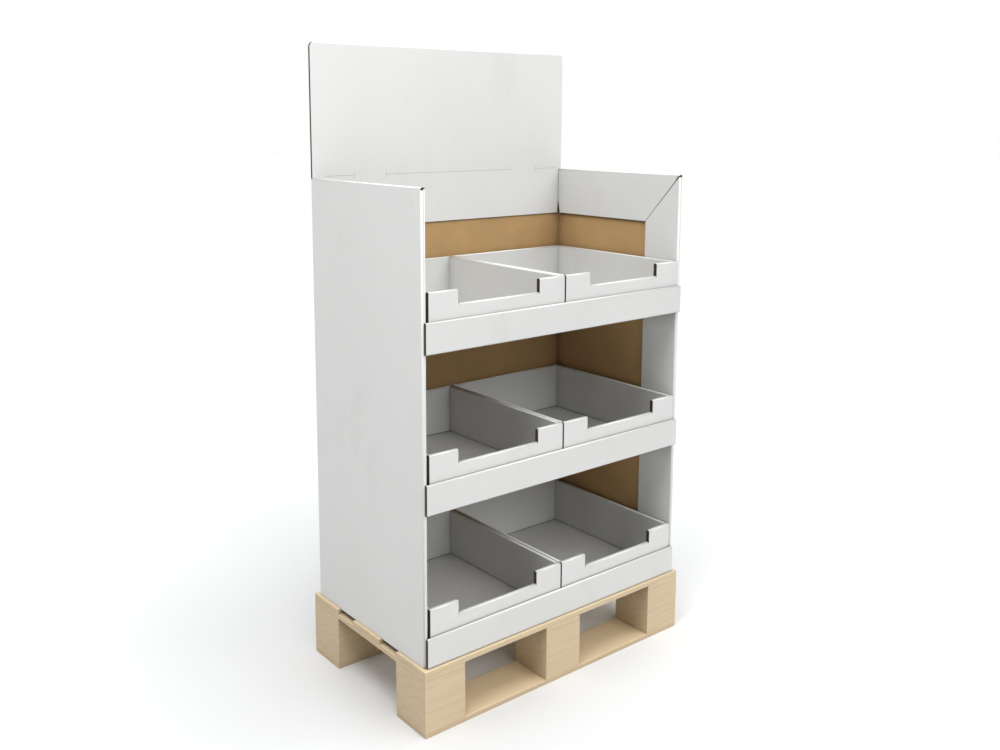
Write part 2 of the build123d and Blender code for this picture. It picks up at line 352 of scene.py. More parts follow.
def coated_paper(board, name, white):
    """White coated liner: fine fibre, faint flutes, soft handling marks, with a painted highlight on
    upward folds and painted shade in joints and under ledges.
    """
    paper = Finish(name, Specular_IOR_Level=0.35)
    place = paper.place()
    cloud = paper.noise(place, 3.2, 3.0, 0.5)
    fibre = paper.noise(paper.scaled(place, (900, 900, 900)), 1.0, 3.0, 0.65)
    speck = paper.noise(place, 1500.0, 1.0, 0.5)
    smudge = paper.noise(paper.scaled(place, (9, 9, 4.5)), 1.0, 4.0, 0.62)
    wave = flute_wave(paper, board.flute_pitch)
    tone = paper.range(cloud, 0.3, 0.72)
    clean = paper.mix(tone, rgba(board.face, 0.98 * white), rgba(board.face, 1.01 * white))
    # fold faces that look up: the mask of a painted highlight
    fold = paper.attribute("fold", "Fac") * paper.facing_up(0.1, 0.8)
    colour = paper.paint(
        clean,
        (paper.range(smudge, 0.52, 0.75, 0.0, 0.5), rgba(board.face, 0.91 * white)),
        (paper.range(speck, 0.70, 0.80, 0.0, 0.10), rgba((0.62, 0.60, 0.55))),
        # painted highlight on the upward folds
        (fold, rgba(board.face, 1.3 * white)),
        (paper.range(wave, 0.0, 1.0, 0.012, 0.0), rgba((0.45, 0.44, 0.42))),
        # painted shade in joints and gaps
        (paper.painted_joint_shade(7 * MM, 0.18, 0.62) * 0.7, rgba((0.07, 0.068, 0.062))),
        # painted shade under shelves and ledges
        (paper.painted_ledge_shade(60 * MM) * 0.4, rgba(board.face, 0.25)),
    )
    ripple = paper.bump(wave, 0.03 * MM)
    normal = paper.bump(fibre, 0.04 * MM, 0.6, ripple)
    return paper.done(colour, paper.range(cloud, 0.2, 0.8, 0.46, 0.58), normal)


def kraft_paper(board):
    """Bare brown liner: long dark and light fibres, clouds, flutes showing through, and painted shade
    under ledges.
    """
    paper = Finish("bare_kraft_paper", Specular_IOR_Level=0.22)
    place = paper.place()
    cloud = paper.noise(place, 9.0, 4.0, 0.6)
    wide = paper.noise(place, 2.5, 2.0, 0.5)
    fibre = paper.noise(paper.scaled(place, (260, 260, 1400)), 1.0, 3.0, 0.7)
    cross = paper.noise(paper.scaled(place, (1500, 1500, 330)), 1.0, 2.0, 0.6)
    wave = flute_wave(paper, board.flute_pitch)
    tone = paper.range(cloud * 0.6 + wide * 0.4, 0.32, 0.68)
    colour = paper.paint(
        paper.mix(tone, rgba(board.kraft, 0.90), rgba(board.kraft, 1.08)),
        (paper.range(fibre, 0.60, 0.78, 0.0, 0.45), rgba(board.kraft, 0.55)),
        (paper.range(cross, 0.62, 0.80, 0.0, 0.40), rgba(board.kraft, 1.45)),
        (paper.range(wave, 0.0, 0.5, 0.10, 0.0), rgba(board.kraft, 0.6)),
        # painted shade under the band and other ledges
        (paper.painted_ledge_shade(40 * MM) * 0.92, rgba(board.kraft, 0.1)),
    )
    normal = paper.bump(fibre + cross, 0.06 * MM, 0.7, paper.bump(wave, 0.06 * MM))
    return paper.done(colour, paper.range(cloud, 0.2, 0.8, 0.72, 0.86), normal)


def core_paper(board):
    """Rough brown paper of the fluting and of the hidden liner faces, painted much darker than it is to
    stand in for the shade inside the board.
    """
    paper = Finish("fluting_paper", Specular_IOR_Level=0.15)
    place = paper.place()
    cloud = paper.noise(place, 60.0, 4.0, 0.6)
    fibre = paper.noise(place, 1300.0, 3.0, 0.7)
    colour = paper.paint(
        paper.mix(cloud, rgba(board.core, 0.75), rgba(board.core, 1.25)),
        (paper.range(fibre, 0.55, 0.8, 0.0, 0.5), rgba(board.core, 1.9)),
    )
    roughness = paper.range(fibre, 0.2, 0.8, 0.82, 0.95)
    return paper.done(colour, roughness, paper.bump(fibre, 0.08 * MM, 0.8))


def cut_paper():
    """Cut rim of a liner: grey-brown fibres under a thin white coat, painted darker than bare paper to
    stand in for the shade along cut edges.
    """
    paper = Finish("cut_paper_edge", Specular_IOR_Level=0.2)
    place = paper.place()
    grit = paper.noise(place, 900.0, 3.0, 0.7)
    patch = paper.noise(place, 40.0, 3.0, 0.6)
    colour = paper.paint(
        # brown fibres painted darker as shade along the cut edge
        paper.mix(grit, rgba((0.060, 0.052, 0.040)), rgba((0.135, 0.115, 0.088))),
        (paper.range(patch, 0.45, 0.7, 0.0, 0.5), rgba((0.05, 0.043, 0.034))),
    )
    roughness = paper.range(grit, 0.2, 0.8, 0.8, 0.92)
    return paper.done(colour, roughness, paper.bump(grit, 0.08 * MM, 0.8))


def planed_wood(pallet):
    """Pale planed wood: rings on the ends, long grain on the faces, pores and rosy clouds, with painted
    light on upward faces and painted shade under the deck and in joints.
    """
    wood = Finish("planed_pale_wood", Specular_IOR_Level=0.3)
    grain = wood.attribute("grain", "Vector")
    bend = wood.noise(wood.scaled(grain, (1.6, 9.0, 9.0)), 1.0, 3.0, 0.55)
    split = wood.node("ShaderNodeSeparateXYZ", None, {0: grain}, "Y")
    depth = wood.node("ShaderNodeSeparateXYZ", None, {0: grain}, "Z")
    rings = ((split * 0.55 + depth) * 260.0 + bend * 34.0).sine() * 0.5 + 0.5
    late = wood.range(rings, 0.62, 0.99)
    streak = wood.noise(wood.scaled(grain, (5.0, 180.0, 180.0)), 1.0, 4.0, 0.6)
    pore = wood.noise(wood.scaled(grain, (30.0, 1300.0, 1300.0)), 1.0, 2.0, 0.6)
    cloud = wood.noise(wood.scaled(grain, (7.0, 22.0, 22.0)), 1.0, 4.0, 0.58)
    colour = wood.paint(
        rgba(pallet.wood),
        (late * 0.40, rgba(pallet.late_wood)),
        (wood.range(streak, 0.45, 0.75, 0.0, 0.48), rgba(pallet.late_wood)),
        (wood.range(cloud, 0.42, 0.70, 0.0, 0.55), rgba(pallet.blush)),
        (wood.range(pore, 0.66, 0.80, 0.0, 0.22), rgba(pallet.late_wood, 0.6)),
        # per-board tint, which also carries the skids' painted shade
        (wood.attribute("tint", "Fac"), rgba(pallet.late_wood)),
        # painted light on upward faces
        (wood.facing_up(0.2, 0.9) * 0.7, rgba(pallet.wood, 1.42)),
        # painted shade under the deck
        (wood.painted_ledge_shade(70 * MM) * 0.5, rgba(pallet.late_wood, 0.2)),
        # painted shade in the joints between timbers
        (wood.painted_joint_shade(4 * MM, 0.15, 0.5) * 0.4, rgba(pallet.late_wood, 0.12)),
    )
    relief = late * 0.5 + streak * 0.6 - pore * 0.5
    roughness = wood.range(streak, 0.25, 0.8, 0.52, 0.72)
    return wood.done(colour, roughness, wood.bump(relief, 0.12 * MM, 0.7))


def dull_steel():
    """Drawn steel of the nails: dull zinc with turning marks and a little dirt."""
    steel = Finish("dull_steel", Metallic=1.0)
    place = steel.place()
    spot = steel.noise(place, 420.0, 4.0, 0.6)
    scratch = steel.noise(steel.scaled(place, (300, 2600, 300)), 1.0, 2.0, 0.5)
    worn = steel.range(spot, 0.35, 0.7)
    colour = steel.mix(worn, rgba((0.42, 0.42, 0.41)), rgba((0.63, 0.62, 0.60)))
    roughness = steel.range(spot, 0.2, 0.8, 0.32, 0.55)
    return steel.done(colour, roughness, steel.bump(scratch, 0.03 * MM, 0.6))


def studio_floor(studio):
    """Seamless pale floor with the faintest mottling, and a painted shadow round the stand's left side.
    """
    ground = Finish("studio_floor", Specular_IOR_Level=0.1)
    place = ground.place()
    cloud = ground.noise(place, 0.8, 2.0, 0.5)
    painted_shadow_centre = {0: place, 1: (-0.42, 0.0, 0.0)}
    aside = ground.node("ShaderNodeVectorMath", {"operation": "SUBTRACT"}, painted_shadow_centre)
    reach = ground.node("ShaderNodeVectorMath", {"operation": "LENGTH"}, {0: aside}, "Value")
    # painted shadow: darker towards the stand's left side
    near = ground.range(reach, 0.1, 1.3, 1.0, 0.0)
    colour = ground.paint(
        ground.mix(cloud, rgba(studio.floor, 1.02), rgba(studio.floor, 1.025)),
        (near, rgba(studio.floor, 0.83)),
    )
    return ground.done(colour, ground.range(cloud, 0.2, 0.8, 0.8, 0.9))


def finish(name, maker, *settings):
    """The material of that name, made on first use."""
    return bpy.data.materials.get(name) or maker(*settings)


def board_finishes(board, sheet, white):
    """The four papers of a sheet: its own white, and the kraft, fluting and cut edges of all."""
    face = f"{sheet}_white_paper"
    return [
        finish(face, coated_paper, board, face, white),
        finish("bare_kraft_paper", kraft_paper, board),
        finish("fluting_paper", core_paper, board),
        finish("cut_paper_edge", cut_paper),
    ]


def linked(name, data):
    """A new object in the scene."""
    made = bpy.data.objects.new(name, data)
    bpy.context.scene.collection.objects.link(made)
    return made


def solid(name, mesh, materials=()):
    """A finished mesh as an object in its materials."""
    data = bpy.data.meshes.new(name)
    mesh.to_mesh(data)
    mesh.free()
    for material in materials:
        data.materials.append(material)
    return linked(name, data)


# ---------------------------------------------------------------- folded board


# inward points through the board, bent is True on a fold, distance is how far along the path
Station = namedtuple("Station", "point inward bent distance")


def fold_line(corners, radius, turn, steps=5):
    """Stations along the outer face of board folded at the corners.

    The board lies right of the path where turn is 1 and left of it where turn is -1.
    """
    points = [Vector(c) for c in corners]
    arms = [b - a for a, b in zip(points, points[1:])]
    heads = [arm.normalized() for arm in arms]
    sides = [Vector((h.y, -h.x)) * turn for h in heads]
    found = [(points[0], sides[0], False)]
    for i in range(1, len(points) - 1):
        reach = min(radius, arms[i - 1].length / 2, arms[i].length / 2)
        if i == 1:
            free = arms[1].length if len(points) == 3 else arms[1].length / 2
            reach = min(radius, arms[0].length, free)
        centre = points[i] - heads[i - 1] * reach + sides[i - 1] * reach
        for k in range(steps + 1):
            angle = math.pi / 2 * k / steps
            out = -(sides[i - 1] * math.cos(angle) + sides[i] * math.sin(angle))
            found.append((centre + out * reach, -out, k > 0))
    found.append((points[-1], sides[-1], False))
    stations = []
    distance = 0.0
    last = None
    for point, inward, bent in found:
        if last is not None:
            step = (point - last).length
            if step < 0.1 * NEAR:
                continue
            distance += step
        stations.append(Station(point, inward, bent, distance))
        last = point
    return stations


def cut_at(stations, values, axis):
    """Adds stations where the path crosses the given values of x (axis 0) or y (axis 1)."""
    result = [stations[0]]
    for a, b in zip(stations, stations[1:]):
        span = b.point[axis] - a.point[axis]
        shares = []
        if abs(span) > 0.001 * NEAR:
            shares = sorted((value - a.point[axis]) / span for value in values)
        for share in shares:
            if 1e-4 < share < 1 - 1e-4:
                point = a.point.lerp(b.point, share)
                inward = a.inward.lerp(b.inward, share).normalized()
                distance = a.distance + (b.distance - a.distance) * share
                result.append(Station(point, inward, False, distance))
        result.append(b)
    return result


class Board:
    """Collects the paper of one folded sheet: closed liners, with the waves laid between them."""

    def __init__(self, settings):
        self.settings = settings
        self.mesh = bmesh.new()
        self.uv = self.mesh.loops.layers.uv.new("board")
        # marks fold faces, where the white paper gets a painted highlight
        self.fold = self.mesh.faces.layers.float.new("fold")
        self.waves = []

    def face(self, corners, skin, smooth=False, marks=None):
        made = self.mesh.faces.new(corners)
        made.material_index = skin
        made.smooth = smooth
        made[self.fold] = float(smooth)
        if marks:
            for loop, mark in zip(made.loops, marks):
                loop[self.uv].uv = mark
        return made

    def shell(self, stations, place, run, depth, skins, along_run=True):
        """One closed liner: depth is how far its two faces lie behind the outer face."""
        rings = []
        for station, (low, high) in zip(stations, run):
            ring = []
            for d in depth:
                flat = station.point + station.inward * d
                ring.append(self.mesh.verts.new(place(flat, low)))
                ring.append(self.mesh.verts.new(place(flat, high)))
            rings.append(ring)
        for i in range(len(stations) - 1):
            a, b = rings[i], rings[i + 1]
            bent = stations[i + 1].bent
            s0, s1 = stations[i].distance, stations[i + 1].distance
            marks = [(s0, run[i][0]), (s0, run[i][1]), (s1, run[i + 1][1]), (s1, run[i + 1][0])]
            if not along_run:
                marks = [(v, u) for u, v in marks]
            self.face((a[0], a[1], b[1], b[0]), skins[0], bent, marks)
            self.face((a[2], b[2], b[3], a[3]), skins[1], bent, [marks[0], marks[3], marks[2], marks[1]])
            self.face((a[0], b[0], b[2], a[2]), RIM, False, marks)
            self.face((a[1], a[3], b[3], b[1]), RIM, False, marks)
        self.face((rings[0][0], rings[0][2], rings[0][3], rings[0][1]), RIM)
        last = rings[-1]
        self.face((last[0], last[1], last[3], last[2]), RIM)

    def sheet(self, stations, place, run, back=KRAFT, front=WHITE, along_run=True):
        """Both liners of one stretch of board."""
        s = self.settings
        if not isinstance(run, list):
            run = [run] * len(stations)
        self.shell(stations, place, run, (0.0, s.liner), (front, CORE), along_run)
        self.shell(
            stations, place, run, (s.thickness - s.liner, s.thickness), (CORE, back), along_run
        )

    def wave(self, line, inward, run):
        """Asks for fluting: line is the middle of the board across the flutes, run goes along them."""
        self.waves.append((line, inward, run))

    def wave_along_path(self, stations, place, low, high):
        """Fluting whose flutes run along the sweep, so that the wave follows the folded path."""
        half = self.settings.thickness / 2
        line = []
        toward = []
        for station in stations:
            core = station.point + station.inward * half
            line.append(place(core, low))
            toward.append(place(core + station.inward, low) - line[-1])
        first = stations[0].point + stations[0].inward * half
        self.wave(line, toward, place(first, high) - place(first, low))

    def finished(self, name, finishes):
        """The paper and its fluting as one plain mesh object at the origin."""
        bmesh.ops.recalc_face_normals(self.mesh, faces=self.mesh.faces)
        for line, toward, run in self.waves:
            add_fluting(self.mesh, self.settings, line, toward, run, finishes[CORE])
        return solid(name, self.mesh, finishes)


# ---------------------------------------------------------------- geometry nodes


def node_group(name, numbers, vectors=()):
    """An empty geometry tree with named inputs: returns its graph and what each input gives."""
    tree = bpy.data.node_groups.new(name, "GeometryNodeTree")
    kinds = {"Geometry": "Geometry", "Material": "Material"}
    kinds.update({label: "Float" for label in numbers})
    kinds.update({label: "Vector" for label in vectors})
    for label, kind in kinds.items():
        tree.interface.new_socket(label, in_out="INPUT", socket_type="NodeSocket" + kind)
    tree.interface.new_socket("Geometry", in_out="OUTPUT", socket_type="NodeSocketGeometry")
    graph = Graph(tree)
    given = tree.nodes.new("NodeGroupInput")
    return graph, {label: Value(graph, given.outputs[label]) for label in kinds}


def joined(graph, *parts):
    """The parts as one geometry."""
    join = graph.tree.nodes.new("GeometryNodeJoinGeometry")
    for part in parts:
        graph.tree.links.new(part.socket, join.inputs[0])
    return Value(graph, join.outputs[0])


def named_vector(graph, name):
    """A vector that each point of the incoming mesh carries."""
    settings = {"data_type": "FLOAT_VECTOR"}
    return graph.node("GeometryNodeInputNamedAttribute", settings, {"Name": name}, "Attribute")


def close_group(graph, geometry, material):
    """Ends a tree: real geometry in its material."""
    whole = graph.node("GeometryNodeRealizeInstances", None, {"Geometry": geometry})
    values = {"Geometry": whole, "Material": material}
    dressed = graph.node("GeometryNodeSetMaterial", None, values)
    result = graph.tree.nodes.new("NodeGroupOutput")
    graph.tree.links.new(dressed.socket, result.inputs[0])
    return graph.tree


def fluting_tree():
    """Corrugated paper: a line is waved across its inward direction and drawn out along the flutes."""
    tree = bpy.data.node_groups.get("Fluting")
    if tree:
        return tree
    graph, ask = node_group("Fluting", ("Pitch", "Height", "Paper"), ("Run",))
    curve = graph.node("GeometryNodeMeshToCurve", None, {"Mesh": ask["Geometry"]})
    values = {"Curve": curve, "Length": ask["Pitch"] / 6.0}
    dense = graph.node("GeometryNodeResampleCurve", {"mode": "LENGTH"}, values)
    along = graph.node("GeometryNodeSplineParameter", None, None, "Length")
    wave = (along * (2 * math.pi) / ask["Pitch"]).sine() * ask["Height"] * 0.5
    values = {0: named_vector(graph, "inward"), "Scale": wave}
    shift = graph.node("ShaderNodeVectorMath", {"operation": "SCALE"}, values)
    bent = graph.node("GeometryNodeSetPosition", None, {"Geometry": dense, "Offset": shift})
    line = graph.node("GeometryNodeCurveToMesh", None, {"Curve": bent})
    values = {"Mesh": line, "Offset": ask["Run"], "Offset Scale": 1.0}
    drawn = graph.node("GeometryNodeExtrudeMesh", {"mode": "EDGES"}, values)
    values = {"Mesh": drawn, "Offset Scale": ask["Paper"], "Individual": False}
    thick = graph.node("GeometryNodeExtrudeMesh", {"mode": "FACES"}, values)
    back = graph.node("GeometryNodeFlipFaces", None, {"Mesh": drawn})
    values = {"Geometry": joined(graph, thick, back), "Distance": 0.01 * MM}
    closed = graph.node("GeometryNodeMergeByDistance", None, values)
    return close_group(graph, closed, ask["Material"])


def run_tree(source, tree, values):
    """The plain mesh that the tree makes of a mesh, with the helper object taken away again."""
    helper = linked("tree_helper", source)
    modifier = helper.modifiers.new("tree", "NODES")
    modifier.node_group = tree
    names = {s.name: s.identifier for s in tree.interface.items_tree if s.in_out == "INPUT"}
    for label, value in values.items():
        modifier[names[label]] = value
    bpy.context.view_layer.update()
    graph = bpy.context.evaluated_depsgraph_get()
    made = bpy.data.meshes.new_from_object(helper.evaluated_get(graph))
    helper.modifiers.clear()
    bpy.data.objects.remove(helper)
    bpy.data.meshes.remove(source)
    return made


def add_fluting(mesh, settings, line, toward, run, material):
    """Runs the fluting tree on one line and adds the result to the sheet's mesh."""
    source = bpy.data.meshes.new("flute_line")
    source.from_pydata([tuple(p) for p in line], [(i, i + 1) for i in range(len(line) - 1)], [])
    inward = source.attributes.new("inward", "FLOAT_VECTOR", "POINT")
    for item, value in zip(inward.data, toward):
        item.vector = value
    height = settings.thickness - 2 * settings.liner - 1.1 * PAPER
    made = run_tree(source, fluting_tree(), {
        "Pitch": settings.flute_pitch, "Height": height, "Paper": PAPER,
        "Run": tuple(run), "Material": material,
    })
    before = len(mesh.faces)
    mesh.from_mesh(made)
    mesh.faces.ensure_lookup_table()
    for face in mesh.faces[before:]:
        face.material_index = CORE
        face.smooth = True
    bpy.data.meshes.remove(made)


# ---------------------------------------------------------------- pieces


def upright(flat, height):
    """Sweep up: the path lies in plan."""
    return Vector((flat[0], flat[1], height))


def across(flat, x):
    """Sweep left to right: the path lies in a front-to-back section."""
    return Vector((x, flat[0], flat[1]))


def inward_run(flat, y):
    """Sweep front to back: the path lies in a left-to-right section."""
    return Vector((flat[0], y, flat[1]))


def ride_as(piece, slot, *nodes):
    """Hands a finished piece to the frame in place of its CAD nodes."""
    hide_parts(*nodes)
    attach(piece, "root")


class MantlePlan:
    """Where the faces, edges and folds of the mantle lie."""

    corner_hole = 2.6 * MM
    seam = 1.5 * MM  # air along the mitre between a band and a front flap
    seam_flare = 0.14  # share of the mitre over which the seam widens to the corner hole
    seam_mouth = 3.0 * MM
    band_start = 1.8 * MM
    band_relief = 8 * MM
    header_relief = 3.5 * MM
    tick = 8 * MM  # cross cut at each end of a slit
    slits = ((-355 * MM, -279 * MM), (-189 * MM, 208 * MM), (297 * MM, 373 * MM))

    def __init__(self, s):
        low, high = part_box("mantle")
        self.wall_out = high.x
        self.wall_in = high.x - s.wall_thickness
        self.front, self.back = low.y, high.y
        self.base, self.crest = low.z, high.z
        self.top = low.z + s.wall_height
        self.band = self.top - s.band_height
        self.flap_end = low.y + s.flap_width
        self.shoulder = high.y - 2 * s.thickness - TOUCH
        self.relief_top = self.band + RELIEF


def stretches(cuts, half):
    """The stretches of board left between cuts, out to the side edges."""
    edges = [-half]
    for cut in cuts:
        edges.extend(cut)
    edges.append(half)
    return list(zip(edges[::2], edges[1::2]))


class STAND_OT_mantle(bpy.types.Operator):
    """Fold the outer sheet: three walls, turned-in edges and the doubled header"""

    bl_idname = "stand.mantle"
    bl_label = "Mantle"

    def execute(self, context):
        s = context.scene.stand_board
        plan = MantlePlan(s)
        board = Board(s)
        self.walls(board, plan, s)
        for side in (-1, 1):
            self.side_band(board, plan, s, side)
        self.header(board, plan, s)
        piece = board.finished("mantle_sheet", board_finishes(s, "mantle", MANTLE_WHITE))
        ride_as(piece, "mantle_board", "mantle")
        return {"FINISHED"}

    @staticmethod
    def walls(board, plan, s):
        """Three walls and the front flaps, swept up; the flaps are mitred at the top."""
        out, into, front, back, end = plan.wall_out, plan.wall_in, plan.front, plan.back, plan.flap_end
        path = fold_line(
            [
                (-into, end), (-into, front), (-out, front), (-out, back),
                (out, back), (out, front), (into, front), (into, end),
            ],
            s.fold_radius, 1,
        )
        run = []
        for point in [station.point for station in path]:
            high_end = plan.top - s.fold_radius
            if abs(point.x) < out - NEAR and point.y < end + NEAR:
                high_end -= plan.corner_hole
            if abs(abs(point.x) - into) < NEAR:
                share = (point.y - front) / s.flap_width
                high_end = min(plan.top - share * s.band_height, high_end)
            run.append((plan.base, high_end))
        board.sheet(path, upright, run)
        board.wave_along_path(path, upright, plan.base + 0.5 * MM, plan.band - MM)

    @staticmethod
    def side_band(board, plan, s, side):
        """The top edge of a side wall, folded over and down as a band with a mitred front end."""
        out, into, top, band = plan.wall_out, plan.wall_in, plan.top, plan.band
        r = s.fold_radius
        section = fold_line(
            [(out * side, top - r), (out * side, top), (into * side, top), (into * side, band)],
            r, -side,
        )
        section = cut_at(section, [plan.relief_top, top - plan.seam_flare * s.band_height], 1)
        run = []
        for point in [station.point for station in section]:
            if abs(abs(point.x) - into) < NEAR and point.y < top - r + NEAR:
                share = (top - point.y) / s.band_height
                start = plan.front + share * s.flap_width + plan.seam
                start += plan.seam_mouth * max(0.0, 1 - share / plan.seam_flare)
                relieved = point.y < plan.relief_top - 0.1 * MM
                run.append((start, plan.shoulder - (plan.band_relief if relieved else TOUCH)))
            else:
                run.append((plan.front + plan.band_start, plan.back - r))
        board.sheet(section, inward_run, run, along_run=False)
        x = (into + s.thickness / 2) * side
        ends = (plan.flap_end + 2 * MM, plan.shoulder - plan.band_relief)
        line = [Vector((x, y, band + 0.3 * MM)) for y in ends]
        board.wave(line, [Vector((side, 0, 0))] * 2, Vector((0, 0, s.band_height * 0.8)))

    @staticmethod
    def header(board, plan, s):
        """The back runs up, folds over and comes down inside the walls, with slits at the fold."""
        t, r = s.thickness, s.fold_radius
        top, crest, shoulder, tick = plan.top, plan.crest, plan.shoulder, plan.tick
        half = plan.wall_out - s.header_inset
        lower_half = plan.wall_in - TOUCH
        slit = top + t
        path = [(plan.back, top - r), (plan.back, crest), (shoulder, crest), (shoulder, plan.band)]
        rounding = [crest - s.corner_radius * (1 - math.cos(math.radians(a))) for a in range(15, 91, 15)]
        breaks = [slit + tick, slit + HALF_SLIT, slit - HALF_SLIT, top, slit - tick, plan.relief_top]
        section = cut_at(fold_line(path, r, -1), rounding + breaks, 1)

        def half_width(point):
            rise = min(max(point.y - (crest - s.corner_radius), 0.0), s.corner_radius)
            return half - s.corner_radius + math.sqrt(s.corner_radius ** 2 - rise ** 2)

        def rows(high, low):
            """The stations of the front panel between two heights."""
            front = [st for st in section if st.point.x < plan.back - t]
            return [st for st in front if low - NEAR <= st.point.y <= high + NEAR]

        upper = []
        for st in section:
            if st.point.x > shoulder + NEAR or st.point.y >= slit + tick - NEAR:
                upper.append(st)
        run = [(-half_width(st.point), half_width(st.point)) for st in upper]
        board.sheet(upper, across, run, along_run=False)

        slit_ends = [end for cut in plan.slits for end in cut][1:-1]
        ticks = [(end - HALF_SLIT, end + HALF_SLIT) for end in slit_ends]
        for high, low, cuts, width in (
            (slit + tick, slit + HALF_SLIT, ticks, half),
            (slit + HALF_SLIT, slit - HALF_SLIT, plan.slits, half),
            (slit - HALF_SLIT, top, ticks, half),
            (top, slit - tick, ticks, lower_half),
        ):
            for stretch in stretches(cuts, width):
                board.sheet(rows(high, low), across, stretch, along_run=False)
        lower = rows(slit - tick, plan.band)
        run = []
        for point in [station.point for station in lower]:
            inset = plan.header_relief if point.y < plan.relief_top - 0.1 * MM else 0.0
            run.append((-lower_half + inset, lower_half - inset))
        board.sheet(lower, across, run, along_run=False)

        for y, low, high, width in (
            (plan.back - t / 2, top, crest - 2 * r, half - CUT_BACK),
            (shoulder + t / 2, slit + tick, crest - 2 * r, half - CUT_BACK),
            (shoulder + t / 2, plan.band + 0.3 * MM, slit - tick, lower_half - 4 * MM),
        ):
            line = [Vector((-width, y, low)), Vector((width, y, low))]
            board.wave(line, [BACKWARD] * 2, Vector((0, 0, high - low)))


class STAND_OT_shelves(bpy.types.Operator):
    """Fold the three shelves with their doubled front lips and glued flanges"""

    bl_idname = "stand.shelves"
    bl_label = "Shelves"

    def execute(self, context):
        s = context.scene.stand_board
        trays = context.scene.stand_tray
        t, r = s.thickness, s.fold_radius
        plan = MantlePlan(s)
        half_lip = plan.wall_out - trays.lip_inset
        for tier in TIERS:
            low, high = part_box(f"shelf_{tier}")
            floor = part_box(f"tray_{tier}_left")[0].z - t
            top = floor + trays.lip_height
            back_of_lip = low.y + trays.lip_thickness
            board = Board(s)
            section = fold_line(
                [
                    (high.y - t, floor), (low.y, floor), (low.y, top),
                    (back_of_lip, top), (back_of_lip, floor + t + 0.2 * MM),
                ],
                r, 1,
            )
            edges = [back_of_lip + 0.2 * MM, plan.flap_end + 0.8 * MM]
            section = cut_at(section, edges, 0)
            lip = [st for st in section if st.point.x <= edges[0] + NEAR]
            board.sheet(lip, across, (-half_lip, half_lip))
            board.wave_along_path(lip, across, -half_lip + CUT_BACK, half_lip - CUT_BACK)
            narrow = [st for st in section if edges[0] - NEAR <= st.point.x <= edges[1] + NEAR]
            board.sheet(narrow, across, (-plan.wall_in + 0.5 * MM, plan.wall_in - 0.5 * MM))
            wide = [st for st in section if st.point.x >= edges[1] - NEAR]
            board.sheet(wide, across, (-high.x + t, high.x - t))
            board.wave_along_path(wide, across, -high.x + t + CUT_BACK, high.x - t - CUT_BACK)
            up = tier == "bottom"
            far = floor + trays.flange if up else floor + t - trays.flange
            near = floor if up else floor + t
            skins = (KRAFT, WHITE) if up else (WHITE, KRAFT)
            for side in (-1, 1):
                flange = fold_line(
                    [(side * (high.x - 2 * r), near), (side * high.x, near), (side * high.x, far)],
                    r, -side if not up else side,
                )
                board.sheet(flange[1:], inward_run, (edges[1], high.y - t - CUT_BACK), *skins)
            rear = fold_line(
                [(high.y - 2 * r, near), (high.y, near), (high.y, far)], r, -1 if up else 1
            )
            board.sheet(rear[1:], across, (-high.x + t + CUT_BACK, high.x - t - CUT_BACK), *skins)
            piece = board.finished(f"shelf_{tier}_sheet", board_finishes(s, "shelf", SHELF_WHITE))
            ride_as(piece, "shelf_board", f"shelf_{tier}")
        return {"FINISHED"}


class STAND_OT_trays(bpy.types.Operator):
    """Fold the six loose trays, each with a hollow front that is low in the middle"""

    bl_idname = "stand.trays"
    bl_label = "Trays"

    def execute(self, context):
        for tier in TIERS:
            for side in SIDES:
                self.tray(context, tier, side)
        return {"FINISHED"}

    def tray(self, context, tier, side):
        s = context.scene.stand_board
        trays = context.scene.stand_tray
        t, r = s.thickness, s.fold_radius
        low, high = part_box(f"tray_{tier}_{side}")
        wall = trays.side_thickness
        nose = trays.front_thickness
        floor_in = low.z + t + FLOOR_GAP
        notch = high.z - trays.notch_depth
        board = Board(s)

        # floor and side walls, swept front to back
        ring = fold_line(
            [
                (low.x + wall, floor_in), (low.x + wall, high.z), (low.x, high.z), (low.x, low.z),
                (high.x, low.z), (high.x, high.z), (high.x - wall, high.z), (high.x - wall, floor_in),
            ],
            r, -1,
        )
        inner = (low.y + nose, high.y - wall)
        board.sheet(ring, inward_run, inner, back=WHITE)
        board.wave_along_path(ring, inward_run, inner[0] + 0.5 * MM, inner[1] - 0.5 * MM)

        # front wall: two posts and the low middle, then the back wall
        post = trays.post_width
        parts = (
            (low.x, low.x + post, high.z), (high.x - post, high.x, high.z),
            (low.x + post, high.x - post, notch),
        )
        for x0, x1, crest in parts:
            section = fold_line(
                [
                    (low.y + nose, low.z), (low.y, low.z), (low.y, crest),
                    (low.y + nose, crest), (low.y + nose, floor_in),
                ],
                r, 1,
            )
            board.sheet(section, across, (x0, x1), back=CORE, along_run=False)
            for y in (low.y + t / 2, low.y + nose - t / 2):
                line = [Vector((x0 + CUT_BACK, y, low.z + r)), Vector((x1 - CUT_BACK, y, low.z + r))]
                rise = Vector((0, 0, crest - low.z - 2 * r))
                board.wave(line, [BACKWARD] * 2, rise)
        section = fold_line(
            [
                (high.y - wall, low.z), (high.y, low.z), (high.y, high.z),
                (high.y - wall, high.z), (high.y - wall, floor_in),
            ],
            r, -1,
        )
        board.sheet(section, across, (low.x, high.x), back=CORE, along_run=False)
        piece = board.finished(f"tray_{tier}_{side}_sheet", board_finishes(s, "tray", TRAY_WHITE))
        ride_as(piece, "tray_board", f"tray_{tier}_{side}")


